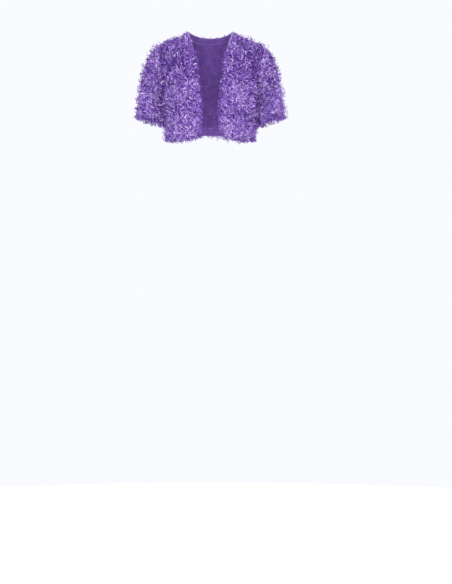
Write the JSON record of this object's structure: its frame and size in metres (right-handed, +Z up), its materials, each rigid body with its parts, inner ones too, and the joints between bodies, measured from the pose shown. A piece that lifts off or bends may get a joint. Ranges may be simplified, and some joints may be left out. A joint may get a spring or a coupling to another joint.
{
  "type": "bolero",
  "caption": "Cropped open-front bolero with short sleeves in shaggy purple tinsel pile, in the hollow form it has when worn.",
  "frame": {"origin": "on the shoulder line, midway between the shoulders, where the wearer holds the garment up", "axes": "+Z up, the open fronts face -Y, +X is the wearer's left"},
  "size_m": [0.4552, 0.2319, 0.3462],
  "materials": {
    "tinsel_pile": "shaggy glitter pile"
  },
  "bodies": {
    "root": {"front_left": "tinsel_pile", "front_right": "tinsel_pile", "back": "tinsel_pile", "sleeve_left": "tinsel_pile", "sleeve_right": "tinsel_pile"}
  },
  "joints": []
}
